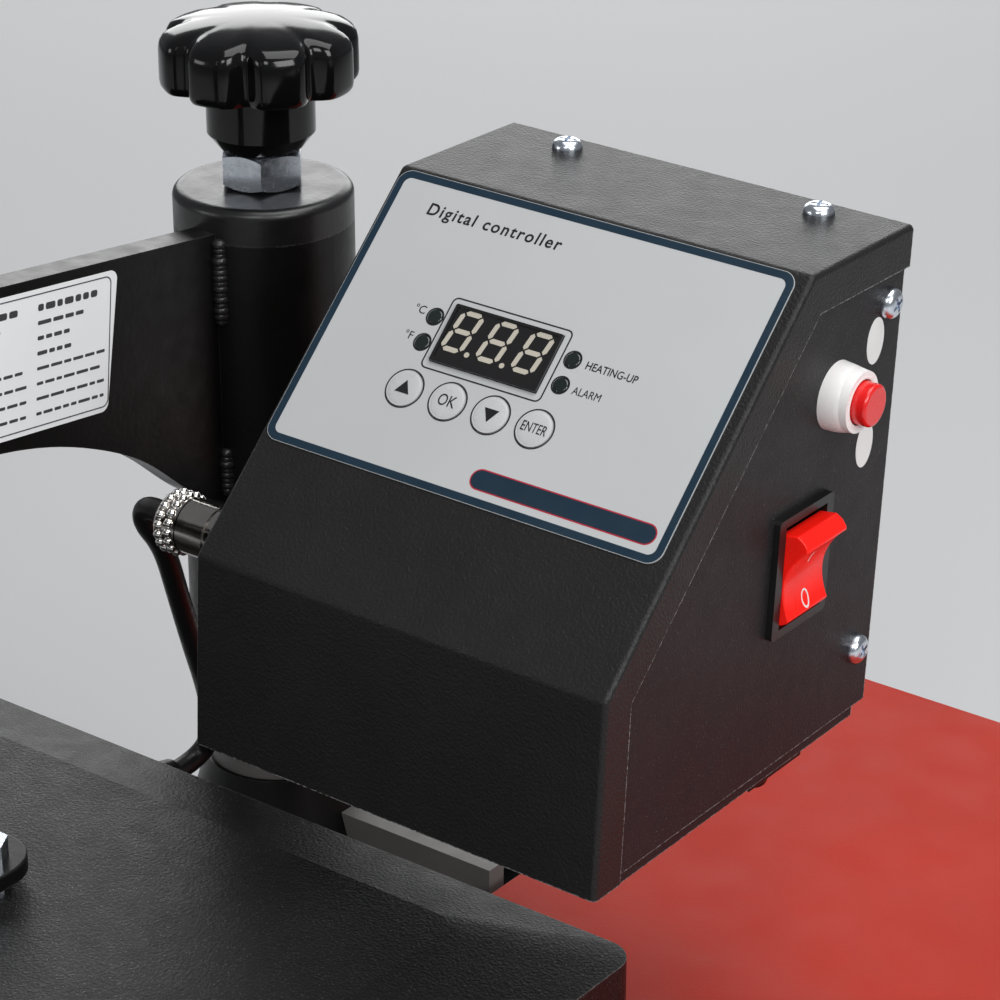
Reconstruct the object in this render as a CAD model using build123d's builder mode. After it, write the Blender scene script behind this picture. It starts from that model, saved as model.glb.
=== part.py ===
"""Swing-away heat press (hot transfer / foil press) with a digital control box.

Frame while modelling: +Z up, origin on the post's axis at table level, +X to the
operator's side of the base, head swung a quarter turn to -Y.  At the end every
piece is shifted so that the origin is the bottom centre of the whole machine.
Millimetres.
"""
from build123d import *
from math import sin, cos, tan, radians, degrees, sqrt
import os

os.makedirs("parts", exist_ok=True)

# ---------------------------------------------------------------- driving sizes
POST_OD = 50.0          # steel post
POST_ID = 40.0
POST_TOP = 300.0
SLEEVE_OD = 60.3        # DN50 pipe
SLEEVE_ID = 50.1        # running fit on the post
SLEEVE_BOTTOM = 150.0
SLEEVE_TOP = 334.0
CAP_THICK = 12.0

NUT_AF = 25.5
NUT_H = 12.6
SCREW_R = 8.0           # M16
KNOB_R = 32.8
KNOB_BOTTOM = SLEEVE_TOP + 13.2
KNOB_SKIRT_0 = 368.0
KNOB_SKIRT_1 = 385.0
KNOB_TOP = 391.0

PLATEN_X = 400.0        # 40 x 30 cm platens
PLATEN_Y = 300.0
REACH = 254.0           # post axis to platen centre
PAD_TOP = 105.0
LIFT = 13.7             # platen travel worked by the lever
HEAD_DROP = 6.0         # head travel worked by the pressure knob

RAIL_Y = 130.0
RAIL_X0, RAIL_X1 = -75.0, 395.0

ARM_T = 10.0
COVER_MARGIN_X, COVER_MARGIN_Y = 16.0, 18.0      # cover stands out round the platen
COVER_SLOPE_X, COVER_SLOPE_Y = 50.0, 24.0        # width of its sloping borders
COVER_Z0, COVER_EDGE_Z, COVER_TOP = 127.0, 161.0, 165.0

# control box, in its own frame: origin front bottom left corner, X right, Y back
BOX_W, BOX_D, BOX_H = 144.0, 152.0, 157.5
BOX_FRONT_H = 62.2      # height of the vertical front face, then a 45 degree slope
FLANGE = 12.8           # side flange of the wrap-round cover
SHEET = 1.5
INSET = 1.6             # side panels lie just behind the cover's flanges
BOX_ORIGIN = (92.4, -142.6, 215.7)
BOX_YAW, BOX_DROOP, BOX_LEAN = 1.7, 1.85, -1.3   # the box hangs a little out of true

LEVER_PIVOT = (0.0, -245.5, 352.0)
LEVER_UP = 75.0         # lever angle above the horizontal when the press is open

ROW_SHIFT = (-92.8, 111.0, 0.0)   # post-axis frame to bottom-centre frame

# ---------------------------------------------------------------- derived frames
_y, _d, _l = radians(BOX_YAW), radians(BOX_DROOP), radians(BOX_LEAN)
BOX_X_DIR = (cos(_y) * cos(_d), sin(_y) * cos(_d), -sin(_d))
BOX_Z_DIR = (
    cos(_y) * cos(_l) * sin(_d) + sin(_y) * sin(_l),
    sin(_y) * cos(_l) * sin(_d) - cos(_y) * sin(_l),
    cos(_l) * cos(_d),
)
BOX_PLANE = Plane(origin=BOX_ORIGIN, x_dir=BOX_X_DIR, z_dir=BOX_Z_DIR)
BOX_SEAT = BOX_PLANE.location

SLOPE_Y = BOX_H - BOX_FRONT_H       # 45 degrees, so run equals rise
H = sqrt(0.5)
# panel plane: x to the right, y up the slope, z out of the face; origin at the top bend
SLOPE = Plane(origin=(0, SLOPE_Y, BOX_H), x_dir=(1, 0, 0), z_dir=(0, -H, H))


def slope_plane(lift):
    return SLOPE.offset(lift)


# right-hand side face of the box: x towards the back, y up, z out of the face
RIGHT = Plane(origin=(BOX_W - INSET, 0, 0), x_dir=(0, 1, 0), z_dir=(1, 0, 0))
LEFT = Plane(origin=(INSET, 0, 0), x_dir=(0, -1, 0), z_dir=(-1, 0, 0))

PIECES = []
BOX_PIECES = []


# ================================================================= BASE
with BuildPart() as base_rails:
    for side in (-1, 1):
        with BuildSketch(Plane.YZ.offset(RAIL_X0)):
            with Locations((side * RAIL_Y, 24.5)):
                RectangleRounded(40, 25, 3)
                RectangleRounded(35, 20, 1.5, mode=Mode.SUBTRACT)
        extrude(amount=RAIL_X1 - RAIL_X0)

with BuildPart() as rail_end_caps:
    for x0 in (RAIL_X0 - 3, RAIL_X1):
        with BuildSketch(Plane.YZ.offset(x0)):
            with Locations((-RAIL_Y, 24.5), (RAIL_Y, 24.5)):
                RectangleRounded(40, 25, 3)
        extrude(amount=3)

with BuildPart() as rubber_feet:
    with BuildSketch(Plane.XY):
        with Locations((-55, -RAIL_Y), (-55, RAIL_Y), (372, -RAIL_Y), (372, RAIL_Y)):
            Circle(16)
    extrude(amount=12, taper=-6)

with BuildPart() as base_crossmembers:
    # two square tubes under the post plate, between the rails
    with BuildSketch(Plane.XZ.offset(-(RAIL_Y - 20))):
        with Locations((-15, 24.5), (80, 24.5)):
            RectangleRounded(40, 25, 3)
            RectangleRounded(35, 20, 1.5, mode=Mode.SUBTRACT)
    extrude(amount=2 * (RAIL_Y - 20))
    # two flat bars across the rails, under the lower platen
    with BuildSketch(Plane.XY.offset(37)):
        with Locations((172, 0), (336, 0)):
            Rectangle(40, 300)
    extrude(amount=8)

with BuildPart() as post_base_plate:
    with BuildSketch(Plane.XY.offset(37)):
        with Locations((22, 0)):
            RectangleRounded(164, 120, 6)
        with Locations((-15, -48), (-15, 48), (80, -48), (80, 48)):
            Circle(5.4, mode=Mode.SUBTRACT)
    extrude(amount=8)

with BuildPart() as base_bolts:
    for cx, cy in ((-15, -48), (-15, 48), (80, -48), (80, 48)):
        with BuildSketch(Plane.XY.offset(45)):
            with Locations((cx, cy)):
                RegularPolygon(9.8, 6)
        extrude(amount=6.4)
        with BuildSketch(Plane.XY.offset(37)):
            with Locations((cx, cy)):
                Circle(5)
        extrude(amount=8)

with BuildPart() as post:
    with BuildSketch(Plane.XY.offset(45)):
        Circle(POST_OD / 2)
        Circle(POST_ID / 2, mode=Mode.SUBTRACT)
    extrude(amount=POST_TOP - 45)

with BuildPart() as post_collar:
    with BuildSketch(Plane.XZ):
        with BuildLine():
            Polyline((25.0, 45), (38, 45), (38, 84), (26.5, 122), (25.0, 122), close=True)
        make_face()
    revolve(axis=Axis.Z)

with BuildPart() as post_gusset:
    with BuildSketch(Plane.XZ.offset(-4)):
        with BuildLine():
            Polyline((38.0, 45), (97, 45), (97, 107), (31.05, 107), (38.0, 84), close=True)
        make_face()
    extrude(amount=8)

with BuildPart() as platen_pillars:
    for cx in (172, 336):
        for cy in (-110, 110):
            with BuildSketch(Plane.XY.offset(45)):
                with Locations((cx, cy)):
                    Circle(11)
            extrude(amount=36)
            with BuildSketch(Plane.XY.offset(81)):
                with Locations((cx, cy)):
                    RegularPolygon(17, 6)
            extrude(amount=6)

with BuildPart() as lower_platen:
    with BuildSketch(Plane.XY.offset(87)):
        with Locations((REACH, 0)):
            RectangleRounded(PLATEN_Y - 5, PLATEN_X - 5, 6)
    extrude(amount=10)
    fillet(lower_platen.edges().group_by(Axis.Z)[0], 1.5)

with BuildPart() as silicone_pad:
    with BuildSketch(Plane.XY.offset(97)):
        with Locations((REACH, 0)):
            RectangleRounded(PLATEN_Y, PLATEN_X, 4)
    extrude(amount=PAD_TOP - 97)
    fillet(silicone_pad.edges().group_by(Axis.Z)[-1], 1.0)

# ================================================================= SLEEVE, SCREW, KNOB
with BuildPart() as sleeve:
    with BuildSketch(Plane.XY.offset(SLEEVE_BOTTOM)):
        Circle(SLEEVE_OD / 2)
        Circle(SLEEVE_ID / 2, mode=Mode.SUBTRACT)
    extrude(amount=SLEEVE_TOP - CAP_THICK - SLEEVE_BOTTOM)
    chamfer(sleeve.edges().group_by(Axis.Z)[0], 1.0)

with BuildPart() as sleeve_cap:
    with BuildSketch(Plane.XY.offset(SLEEVE_TOP - CAP_THICK)):
        Circle(SLEEVE_OD / 2)
        Circle(SCREW_R + 0.05, mode=Mode.SUBTRACT)
    extrude(amount=CAP_THICK)
    fillet(sleeve_cap.edges().group_by(Axis.Z)[-1].sort_by(SortBy.RADIUS)[-1], 3.2)

with BuildPart() as thrust_pad:
    # hardened disc that the screw's tip bears on, sitting on the post's top
    with BuildSketch(Plane.XY.offset(POST_TOP)):
        Circle(24.0)
    extrude(amount=5)
    with BuildSketch(Plane.XY.offset(POST_TOP - 8)):
        Circle(19.0)
    extrude(amount=8)

with BuildPart() as pressure_screw:
    with BuildSketch(Plane.XY.offset(POST_TOP + 5)):
        Circle(SCREW_R)
    extrude(amount=378 - POST_TOP - 5)
    chamfer(pressure_screw.edges().group_by(Axis.Z)[0], 1.2)

with BuildPart() as lock_nut:
    with BuildSketch(Plane.XY.offset(SLEEVE_TOP + 0.1)):
        RegularPolygon(NUT_AF / 2, 6, major_radius=False, rotation=37.2 - 90 + 2)
        Circle(SCREW_R + 0.05, mode=Mode.SUBTRACT)
    extrude(amount=NUT_H)
    with BuildSketch(Plane.XZ):
        with BuildLine():
            Polyline(
                (11.9, SLEEVE_TOP), (20, SLEEVE_TOP), (20, SLEEVE_TOP + 5.2), close=True
            )
        make_face()
        with BuildLine():
            Polyline(
                (11.9, SLEEVE_TOP + 12.8),
                (20, SLEEVE_TOP + 12.8),
                (20, SLEEVE_TOP + 7.6),
                close=True,
            )
        make_face()
    revolve(axis=Axis.Z, mode=Mode.SUBTRACT)

with BuildPart() as pressure_knob:
    # eight-lobed grip, hub below it with a coned foot, slightly domed top
    with BuildSketch(Plane.XY.offset(KNOB_SKIRT_0)):
        Circle(28.0)
        with PolarLocations(22.6, 8, start_angle=37.2 - 90 - 5 + 22.5):
            Circle(10.2)
        with PolarLocations(37.4, 8, start_angle=37.2 - 90 - 5):
            Circle(8.6, mode=Mode.SUBTRACT)
    extrude(amount=KNOB_TOP - KNOB_SKIRT_0)
    with BuildSketch(Plane.XZ):
        with BuildLine():
            Line((0, KNOB_TOP + 2), (45, KNOB_TOP + 2))
            Line((45, KNOB_TOP + 2), (45, KNOB_SKIRT_1 - 2.5))
            ThreePointArc((45, KNOB_SKIRT_1 - 2.5), (22, KNOB_TOP - 1.9), (0, KNOB_TOP))
            Line((0, KNOB_TOP), (0, KNOB_TOP + 2))
        make_face()
    revolve(axis=Axis.Z, mode=Mode.SUBTRACT)
    with BuildSketch(Plane.XZ):
        with BuildLine():
            Polyline(
                (0, KNOB_BOTTOM),
                (14, KNOB_BOTTOM),
                (18, KNOB_BOTTOM + 5.2),
                (18, KNOB_SKIRT_0 + 2),
                (0, KNOB_SKIRT_0 + 2),
                close=True,
            )
        make_face()
    revolve(axis=Axis.Z)
    with BuildSketch(Plane.XY.offset(KNOB_BOTTOM)):
        Circle(SCREW_R)
    extrude(amount=378 - KNOB_BOTTOM, mode=Mode.SUBTRACT)

# ================================================================= SWING ARM
with BuildPart() as swing_arm:
    with BuildSketch(Plane.YZ.offset(-ARM_T / 2)):
        with BuildLine():
            Line((-22, 324.6), (-230, 347.2))
            Line((-230, 347.2), (-230, 288.5))
            Spline(
                (-230, 288.5), (-175, 286.0), (-131, 282.6), (-105.4, 276.2),
                (-87.8, 269.1), (-65.3, 256.0), (-47.8, 240.8), (-30, 230.0),
            )
            Line((-30, 230.0), (-22, 230.0))
            Line((-22, 230.0), (-22, 324.6))
        make_face()
    extrude(amount=ARM_T)
    with BuildSketch(Plane.XY.offset(200)):
        Circle(SLEEVE_OD / 2)
    extrude(amount=160, mode=Mode.SUBTRACT)

with BuildPart() as rating_label:
    with BuildSketch(Plane.YZ.offset(ARM_T / 2)):
        with BuildLine():
            Polyline((-75.8, 327.0), (-83.6, 281.4), (-155.4, 289.1), (-147.6, 334.7), close=True)
        make_face()
        fillet(vertices(), 3.0)
    extrude(amount=0.25)

# ================================================================= GUIDE HEAD, PLUNGER, LEVER
PX, PY, PZ = LEVER_PIVOT
with BuildPart() as guide_head:
    with BuildSketch(Plane.XY.offset(262)):
        with Locations((0, -REACH)):
            RectangleRounded(44, 48, 4)
    extrude(amount=64)
    # two ears that carry the lever
    for x0 in (-22, 16):
        with BuildSketch(Plane.YZ.offset(x0)):
            with BuildLine():
                Polyline((PY - 16, 320), (PY + 14, 320), (PY + 14, PZ), (PY - 16, PZ), close=True)
            make_face()
            with Locations((PY - 1, PZ)):
                Circle(15)
            with Locations((PY, PZ)):
                Circle(6.05, mode=Mode.SUBTRACT)
        extrude(amount=6)
    with BuildSketch(Plane.XY.offset(255)):
        with Locations((0, -REACH)):
            Circle(18.5)
    extrude(amount=7)
    with BuildSketch(Plane.XY.offset(254)):
        with Locations((0, -REACH)):
            Circle(14.05)
    extrude(amount=78, mode=Mode.SUBTRACT)

with BuildPart() as plunger:
    with BuildSketch(Plane.XY.offset(174)):
        with Locations((0, -REACH)):
            Circle(14.0)
    extrude(amount=157)
    with BuildSketch(Plane.XY.offset(331)):
        with Locations((0, -REACH)):
            Rectangle(16, 22)
    extrude(amount=41)
    # cross slot that the lever's eccentric pin works in
    with BuildSketch(Plane.YZ.offset(-9)):
        with Locations((-REACH, PZ + LIFT / 2)):
            RectangleRounded(13.6, 8.9, 4.3)
    extrude(amount=18, mode=Mode.SUBTRACT)

LC, LS = -cos(radians(LEVER_UP)), sin(radians(LEVER_UP))


def along_lever(dist, side):
    """Point in the lever's plane: dist out from the pivot, side across it."""
    return (PY + LC * dist - LS * side, PZ + LS * dist + LC * side)


with BuildPart() as lever_crank:
    for x0 in (-15, 9):
        with BuildSketch(Plane.YZ.offset(x0)):
            with Locations((PY, PZ)):
                Circle(18)
            with BuildLine():
                Polyline(
                    along_lever(0, -16), along_lever(74, -12),
                    along_lever(74, 12), along_lever(0, 16), close=True,
                )
            make_face()
        extrude(amount=6)
    with BuildSketch(Plane.YZ.offset(-9)):
        with BuildLine():
            Polyline(
                along_lever(50, -12), along_lever(74, -12),
                along_lever(74, 12), along_lever(50, 12), close=True,
            )
        make_face()
    extrude(amount=18)
    # eccentric pin between the webs, stub shafts outside them
    with BuildSketch(Plane.YZ.offset(-9)):
        with Locations((PY - LIFT / 2, PZ + LIFT / 2)):
            Circle(4.0)
    extrude(amount=18)
    for x0 in (-24, 15):
        with BuildSketch(Plane.YZ.offset(x0)):
            with Locations((PY, PZ)):
                Circle(6.0)
        extrude(amount=9)

LEVER_AXIS = Plane(
    origin=(0, *along_lever(74, 0)), x_dir=(1, 0, 0), z_dir=(0, LC, LS)
)
with BuildPart() as lever_bar:
    with BuildSketch(LEVER_AXIS):
        Circle(9)
    extrude(amount=262)

with BuildPart() as lever_grip:
    with BuildSketch(LEVER_AXIS.offset(140)):
        Circle(15)
    extrude(amount=130)
    fillet(lever_grip.edges().filter_by(GeomType.CIRCLE), 3.0)
    with BuildSketch(LEVER_AXIS.offset(139)):
        Circle(9)
    extrude(amount=123, mode=Mode.SUBTRACT)

# ================================================================= UPPER PLATEN GROUP
HX, HY = 38.0, 74.0
STUDS = [(sx * HX, -REACH + sy * HY) for sx in (-1, 1) for sy in (-1, 1)]

with BuildPart() as hanger_plate:
    with BuildSketch(Plane.XY.offset(169)):
        with Locations((0, -REACH)):
            RectangleRounded(100, 178, 15)
        with Locations(*STUDS):
            Circle(4.3, mode=Mode.SUBTRACT)
    extrude(amount=5)
    fillet(hanger_plate.edges().group_by(Axis.Z)[-1].filter_by(GeomType.LINE), 0.8)

with BuildPart() as platen_studs:
    with BuildSketch(Plane.XY.offset(134)):
        with Locations(*STUDS):
            Circle(4)
    extrude(amount=50)

with BuildPart() as platen_nuts:
    with BuildSketch(Plane.XY.offset(174)):
        for p in STUDS:
            with Locations(p):
                RegularPolygon(6.5, 6, major_radius=False)
                Circle(4, mode=Mode.SUBTRACT)
    extrude(amount=6.5)
    with BuildSketch(Plane.XY.offset(COVER_TOP)):
        for p in STUDS:
            with Locations(p):
                RegularPolygon(6.5, 6, major_radius=False)
                Circle(4, mode=Mode.SUBTRACT)
    extrude(amount=4)

CX2 = PLATEN_X / 2 + COVER_MARGIN_X
CY2 = PLATEN_Y / 2 + COVER_MARGIN_Y
with BuildPart() as platen_cover:
    with BuildSketch(Plane.XY.offset(COVER_Z0)):
        with Locations((0, -REACH)):
            RectangleRounded(2 * CX2, 2 * CY2, 10)
    extrude(amount=COVER_EDGE_Z - COVER_Z0)
    with BuildSketch(Plane.XY.offset(COVER_EDGE_Z)):
        with Locations((0, -REACH)):
            RectangleRounded(2 * CX2, 2 * CY2, 10)
    with BuildSketch(Plane.XY.offset(COVER_TOP)):
        with Locations((0, -REACH)):
            RectangleRounded(2 * (CX2 - COVER_SLOPE_X), 2 * (CY2 - COVER_SLOPE_Y), 8)
    loft()
    with BuildSketch(Plane.XY.offset(COVER_Z0)):
        with Locations((0, -REACH)):
            RectangleRounded(2 * CX2 - 3, 2 * CY2 - 3, 8.5)
    extrude(amount=COVER_EDGE_Z - COVER_Z0 - 1.4, mode=Mode.SUBTRACT)
    with BuildSketch(Plane.XY.offset(COVER_EDGE_Z - 1.4)):
        with Locations((0, -REACH)):
            RectangleRounded(2 * (CX2 - COVER_SLOPE_X) - 4, 2 * (CY2 - COVER_SLOPE_Y) - 4, 8)
    extrude(amount=COVER_TOP - 1.5 - COVER_EDGE_Z + 1.4, mode=Mode.SUBTRACT)
    with BuildSketch(Plane.XY.offset(COVER_EDGE_Z - 1)):
        with Locations(*STUDS):
            Circle(4.3)
    extrude(amount=10, mode=Mode.SUBTRACT)
    # holes of the four side screws
    for sx in (-1, 1):
        with BuildSketch(Plane.YZ.offset(sx * (CX2 - 4) - 6)):
            with Locations((-REACH - 100, 130.6), (-REACH + 100, 130.6)):
                Circle(2.2)
        extrude(amount=12, mode=Mode.SUBTRACT)

with BuildPart() as cover_screws:
    for sx in (-1, 1):
        for sy in (-1, 1):
            with BuildSketch(Plane.YZ.offset(sx * 200 if sx > 0 else -CX2 - 2.4)):
                with Locations((-REACH + sy * 100, 130.6)):
                    Circle(2.0)
            extrude(amount=CX2 - 200 + 2.4)
            with BuildSketch(Plane.YZ.offset(CX2 if sx > 0 else -CX2 - 2.4)):
                with Locations((-REACH + sy * 100, 130.6)):
                    Circle(4.0)
            extrude(amount=2.4)

with BuildPart() as heating_platen:
    with BuildSketch(Plane.XY.offset(PAD_TOP + 0.3 + LIFT + HEAD_DROP)):
        with Locations((0, -REACH)):
            RectangleRounded(PLATEN_X, PLATEN_Y, 6)
    extrude(amount=9)
    fillet(heating_platen.edges().group_by(Axis.Z)[0], 1.0)

with BuildPart() as heating_element:
    # tubular heater, bent round the platen with its two ends at the back
    with BuildSketch(Plane.XY.offset(134)):
        with Locations((0, -REACH)):
            RectangleRounded(330, 230, 45)
            RectangleRounded(314, 214, 37, mode=Mode.SUBTRACT)
            RectangleRounded(190, 110, 35)
            RectangleRounded(174, 94, 27, mode=Mode.SUBTRACT)
        with Locations((0, -REACH + 80)):
            Rectangle(24, 90, mode=Mode.SUBTRACT)
        with Locations((-16, -REACH + 81), (16, -REACH + 81)):
            Rectangle(8, 68)
    extrude(amount=8)

with BuildPart() as insulation:
    with BuildSketch(Plane.XY.offset(142)):
        with Locations((0, -REACH)):
            RectangleRounded(388, 288, 6)
        with Locations(*STUDS):
            Circle(4.4, mode=Mode.SUBTRACT)
        with Locations((40, -190)):
            Circle(5, mode=Mode.SUBTRACT)
    extrude(amount=15)

with BuildPart() as temperature_probe:
    with BuildSketch(Plane.XY.offset(134)):
        with Locations((40, -190)):
            RegularPolygon(4.4, 6)
    extrude(amount=7)
    with BuildSketch(Plane.XY.offset(141)):
        with Locations((40, -190)):
            Circle(2.5)
    extrude(amount=14)

GLAND_X, GLAND_Z = 16.0, 148.5
REAR_Y = -REACH + CY2
with BuildPart() as cable_gland:
    with BuildSketch(Plane(origin=(GLAND_X, REAR_Y, GLAND_Z), x_dir=(1, 0, 0), z_dir=(0, 1, 0))):
        RegularPolygon(9.4, 6)
    extrude(amount=4)
    with BuildSketch(Plane(origin=(GLAND_X, REAR_Y + 4, GLAND_Z), x_dir=(1, 0, 0), z_dir=(0, 1, 0))):
        Circle(7.2)
    extrude(amount=9, taper=12)

# ================================================================= CONTROL BOX (own frame)
def offset_profile(t, back, low=-1.0):
    """Corner points of the box's side profile, inset by t from front, slope and top."""
    k = t * sqrt(2)
    return (
        (t, low),
        (t, BOX_FRONT_H - k + t),
        (SLOPE_Y - t + k, BOX_H - t),
        (back, BOX_H - t),
        (back, low),
    )


WIN_U, WIN_V, WIN_W, WIN_H = 60.9, 47.4, 37.6, 19.0
KEYS = {"key_up": 38.8, "key_ok": 54.2, "key_down": 69.4, "key_enter": 84.7}
KEY_V, KEY_R = 67.2, 5.7
LEDS = ((36.7, 43.5), (36.8, 52.1), (85.7, 44.1), (85.8, 52.4))
OVL = (1.6, 139.6, 0.9, 94.3)       # overlay: left, right, top, bottom

TOP_SCREWS = ((28.7, 141.6), (118.0, 141.6))
SIDE_SCREWS = ((143.6, 135.4), (142.6, 22.6))
BRK_Y, BRK_Z = 116.0, 115.0
SW_Y, SW_Z = 101.7, 65.9

with BuildPart() as front_cover:
    with BuildSketch(Plane.YZ):
        with BuildLine():
            Polyline(
                (0, 0), (0, BOX_FRONT_H), (SLOPE_Y, BOX_H), (BOX_D, BOX_H), (BOX_D, 0),
                close=True,
            )
        make_face()
    extrude(amount=BOX_W)
    # bends: across the front and top, and down both sides
    fillet(
        front_cover.edges().filter_by(Axis.X).filter_by_position(Axis.Z, BOX_FRONT_H - 1, BOX_H + 1)
        .filter_by_position(Axis.Y, -1, SLOPE_Y + 1),
        2.6,
    )
    rims = [
        e for f in front_cover.faces().filter_by(Axis.X) for e in f.edges()
        if e.center().Y < BOX_D - 0.5 and e.center().Z > 1.0
    ]
    fillet(rims, 1.7)
    with BuildSketch(Plane.YZ.offset(SHEET)):
        with BuildLine():
            Polyline(*offset_profile(SHEET, BOX_D + 1), close=True)
        make_face()
    extrude(amount=BOX_W - 2 * SHEET, mode=Mode.SUBTRACT)
    with BuildSketch(Plane.YZ.offset(-1)):
        with BuildLine():
            Polyline(*offset_profile(FLANGE, BOX_D + 1), close=True)
        make_face()
    extrude(amount=BOX_W + 2, mode=Mode.SUBTRACT)
    # openings in the slope
    with BuildSketch(slope_plane(-6)):
        with Locations((WIN_U, -WIN_V)):
            Rectangle(WIN_W + 0.6, WIN_H + 0.6)
        with Locations(*[(u, -KEY_V) for u in KEYS.values()]):
            Circle(KEY_R + 0.4)
        with Locations(*[(u, -v) for u, v in LEDS]):
            Circle(2.8)
    extrude(amount=8, mode=Mode.SUBTRACT)
    with BuildSketch(Plane.XY.offset(BOX_H - 4)):
        with Locations(*TOP_SCREWS):
            Circle(2.3)
    extrude(amount=6, mode=Mode.SUBTRACT)

with BuildPart() as side_panels:
    for x0 in (INSET, BOX_W - INSET - 1.5):
        with BuildSketch(Plane.YZ.offset(x0)):
            with BuildLine():
                Polyline(*offset_profile(FLANGE - 3.0, BOX_D - 0.2, 1.6), close=True)
            make_face()
            if x0 > 10:
                with Locations((BRK_Y, BRK_Z)):
                    Circle(6.2, mode=Mode.SUBTRACT)
                with Locations((SW_Y, SW_Z)):
                    Rectangle(25.2, 34.0, mode=Mode.SUBTRACT)
            else:
                with Locations((25, 56)):
                    Circle(7.9, mode=Mode.SUBTRACT)
            with Locations(*SIDE_SCREWS):
                Circle(2.3, mode=Mode.SUBTRACT)
        extrude(amount=1.5)

with BuildPart() as back_panel:
    with BuildSketch(Plane.XY.offset(1.0)):
        with Locations((BOX_W / 2, BOX_D - 1.2)):
            Rectangle(BOX_W - 6.6, 1.2)
    extrude(amount=BOX_H - SHEET - 1.3)
    # side flanges, clear of the tray's walls
    with BuildSketch(Plane.XY.offset(7.5)):
        for x0 in (3.9, BOX_W - 3.9):
            with Locations((x0, BOX_D - 7.2)):
                Rectangle(1.2, 13.2)
    extrude(amount=BOX_H - SHEET - 7.8)
    with BuildSketch(Plane.XY.offset(BOX_H - SHEET - 1.5)):
        with Locations((BOX_W / 2, BOX_D - 7.2)):
            Rectangle(BOX_W - 6.6, 13.2)
    extrude(amount=1.2)
    with BuildSketch(Plane.XZ.offset(-(BOX_D + 1))):
        with Locations((72, 30)):
            Circle(7.0)
    extrude(amount=4, mode=Mode.SUBTRACT)
    # screw holes in the flanges
    with BuildSketch(Plane.YZ.offset(-1)):
        with Locations(*SIDE_SCREWS):
            Circle(2.05)
    extrude(amount=BOX_W + 2, mode=Mode.SUBTRACT)
    with BuildSketch(Plane.XY.offset(BOX_H - 6)):
        with Locations(*TOP_SCREWS):
            Circle(2.05)
    extrude(amount=7, mode=Mode.SUBTRACT)
    # louvres
    with BuildSketch(Plane.XZ.offset(-(BOX_D + 1))):
        for k in range(6):
            with Locations((72, 78 + 9 * k)):
                SlotOverall(60, 3.2)
    extrude(amount=4, mode=Mode.SUBTRACT)

with BuildPart() as bottom_tray:
    with BuildSketch(Plane.XY.offset(-3.8)):
        with Locations((BOX_W / 2, 82.5)):
            Rectangle(BOX_W - 7.4, 132)
    extrude(amount=11)
    with BuildSketch(Plane.XY.offset(-2.3)):
        with Locations((BOX_W / 2, 82.5)):
            Rectangle(BOX_W - 10.4, 129)
    extrude(amount=12, mode=Mode.SUBTRACT)

# one pan-head screw, head on +Z, with a cross recess
with BuildPart() as screw_blank:
    with BuildSketch(Plane.XY):
        Circle(4.8)
    extrude(amount=3.3)
    fillet(screw_blank.edges().group_by(Axis.Z)[-1], 2.5)
    with BuildSketch(Plane.XY.offset(-7.5)):
        Circle(2.0)
    extrude(amount=7.5)
    with BuildSketch(Plane.XY.offset(1.9)):
        Rectangle(5.2, 1.1)
        Rectangle(1.1, 5.2)
    extrude(amount=2, mode=Mode.SUBTRACT)

with BuildPart() as box_screws:
    # two in the top, two in each side
    seats = [Plane(origin=(x, y, BOX_H), x_dir=(1, 0.35, 0), z_dir=(0, 0, 1)) for x, y in TOP_SCREWS]
    seats += [Plane(origin=(BOX_W - INSET, y, z), x_dir=(0, 1, 0.5), z_dir=(1, 0, 0)) for y, z in SIDE_SCREWS]
    seats += [Plane(origin=(INSET, y, z), x_dir=(0, -1, 0.4), z_dir=(-1, 0, 0)) for y, z in SIDE_SCREWS]
    for seat in seats:
        add(screw_blank.part.moved(seat.location))

with BuildPart() as panel_overlay:
    with BuildSketch(slope_plane(0)):
        with Locations(((OVL[0] + OVL[1]) / 2, -(OVL[2] + OVL[3]) / 2)):
            RectangleRounded(OVL[1] - OVL[0], OVL[3] - OVL[2], 4.5)
        with Locations((WIN_U, -WIN_V)):
            Rectangle(WIN_W + 0.3, WIN_H + 0.3, mode=Mode.SUBTRACT)
        with Locations(*[(u, -KEY_V) for u in KEYS.values()]):
            Circle(KEY_R + 0.2, mode=Mode.SUBTRACT)
        with Locations(*[(u, -v) for u, v in LEDS]):
            Circle(2.6, mode=Mode.SUBTRACT)
    extrude(amount=0.4)

with BuildPart() as display_module:
    with BuildSketch(slope_plane(-7)):
        with Locations((WIN_U, -WIN_V)):
            Rectangle(WIN_W, WIN_H)
    extrude(amount=8.0)

with BuildPart() as indicator_leds:
    with BuildSketch(slope_plane(-7)):
        with Locations(*[(u, -v) for u, v in LEDS]):
            Circle(2.45)
    extrude(amount=7.6)
    fillet(indicator_leds.edges().filter_by(GeomType.CIRCLE).group_by(Axis((0, 0, 0), (0, -H, H)))[-1], 0.6)

with BuildPart() as controller_board:
    with BuildSketch(slope_plane(-10.6)):
        with Locations((70, -52)):
            Rectangle(118, 68)
    extrude(amount=1.6)
    # tact switches, display header and the chips on the back
    with BuildSketch(slope_plane(-9)):
        with Locations(*[(u, -KEY_V) for u in KEYS.values()]):
            Rectangle(6, 6)
    extrude(amount=2.4)
    with BuildSketch(slope_plane(-9)):
        with Locations((WIN_U, -WIN_V)):
            Rectangle(30, 16)
    extrude(amount=1.9)
    with BuildSketch(slope_plane(-13)):
        with Locations((40, -40)):
            Rectangle(20, 10)
        with Locations((95, -60)):
            Rectangle(14, 14)
    extrude(amount=2.4)

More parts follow.
